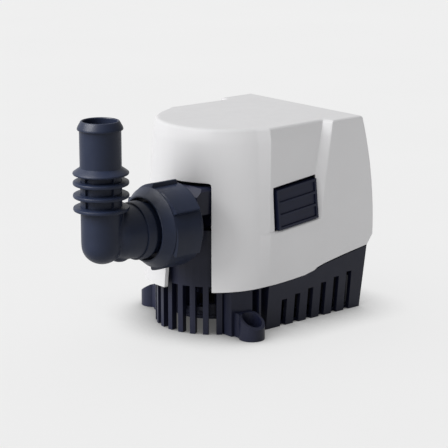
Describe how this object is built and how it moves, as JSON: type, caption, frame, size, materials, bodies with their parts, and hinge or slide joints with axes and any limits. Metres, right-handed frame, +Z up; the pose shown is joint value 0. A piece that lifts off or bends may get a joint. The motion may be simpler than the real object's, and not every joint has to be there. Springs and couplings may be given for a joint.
{
  "type": "bilge pump",
  "caption": "Automatic submersible bilge pump: slotted strainer base, lift-off cover with press latches, float switch, motor, union nut and a swivelling stepped hose elbow.",
  "frame": {"origin": "bottom centre of the bounding box, on the surface the pump stands on", "axes": "+X along the pump from the hose elbow to the back of the cover, +Z up, the near latch and the outlet's side towards -Y"},
  "size_m": [0.1821, 0.097, 0.1216],
  "materials": {
    "shell": "warm white moulded plastic with a satin surface",
    "dark": "navy charcoal moulded plastic with a fine matt grain",
    "button": "dark navy moulded plastic",
    "rubber": "black moulded rubber",
    "inner": "grey moulded plastic",
    "foam": "black closed-cell float",
    "amber": "brown glass-filled plastic",
    "steel": "bright stainless steel",
    "zinc": "zinc-plated drawn steel",
    "copper": "copper and bronze",
    "iron": "laminated electrical steel",
    "ferrite": "dark ferrite",
    "carbon": "pressed carbon",
    "glass": "clear glass capsule"
  },
  "bodies": {
    "base": {"strainer_base": "dark", "cable_gland": "rubber", "pump_body": "dark", "inlet_plate": "dark", "plate_gasket": "rubber", "motor_plate": "inner", "plate_screw_1": "steel", "plate_screw_2": "steel", "plate_screw_3": "steel", "shaft_seal": "rubber", "motor_can": "zinc", "motor_end_cap": "inner", "magnet_front": "ferrite", "magnet_rear": "ferrite", "lower_bearing": "copper", "upper_bearing": "copper", "brush_near": "carbon", "brush_far": "carbon", "brush_arm_near": "copper", "brush_arm_far": "copper", "float_pin": "steel", "switch_housing": "inner", "switch_lid": "inner", "reed_switch": "glass", "outlet_gasket": "rubber"},
    "rotor": {"motor_shaft": "steel", "armature": "iron", "winding_1": "copper", "winding_2": "copper", "winding_3": "copper", "commutator": "copper", "impeller": "amber"},
    "float": {"float": "foam", "float_magnet": "ferrite"},
    "cover": {"cover": "shell", "latch_spring_near": "steel", "latch_spring_far": "steel"},
    "latch_near": {"latch_button_near": "button"},
    "latch_far": {"latch_button_far": "button"},
    "nut": {"union_nut": "dark"},
    "elbow": {"outlet_elbow": "dark"}
  },
  "joints": [
    {"name": "cover_lift", "type": "slide", "parent": "base", "child": "cover", "axis": [0, 0, 1], "range_m": [0, 0.075]},
    {"name": "latch_near_press", "type": "slide", "parent": "cover", "child": "latch_near", "axis": [0, 1, 0], "range_m": [0, 0.003], "stiffness_N_per_m": 500, "springref_m": -0.002, "deforming": ["latch_spring_near"]},
    {"name": "latch_far_press", "type": "slide", "parent": "cover", "child": "latch_far", "axis": [0, -1, 0], "range_m": [0, 0.003], "stiffness_N_per_m": 500, "springref_m": -0.002, "deforming": ["latch_spring_far"]},
    {"name": "rotor_spin", "type": "hinge", "parent": "base", "child": "rotor", "pos_m": [0.0087, 0, 0.06], "axis": [0, 0, 1], "continuous": true},
    {"name": "float_lift", "type": "hinge", "parent": "base", "child": "float", "pos_m": [0.0387, 0, 0.015], "axis": [0, -1, 0], "range_deg": [0, 12]},
    {"name": "nut_turn", "type": "hinge", "parent": "base", "child": "nut", "pos_m": [-0.0363, -0.017, 0.0628], "axis": [1, 0, 0], "continuous": true},
    {"name": "elbow_swivel", "type": "hinge", "parent": "base", "child": "elbow", "pos_m": [-0.0513, -0.017, 0.0628], "axis": [1, 0, 0], "continuous": true}
  ]
}
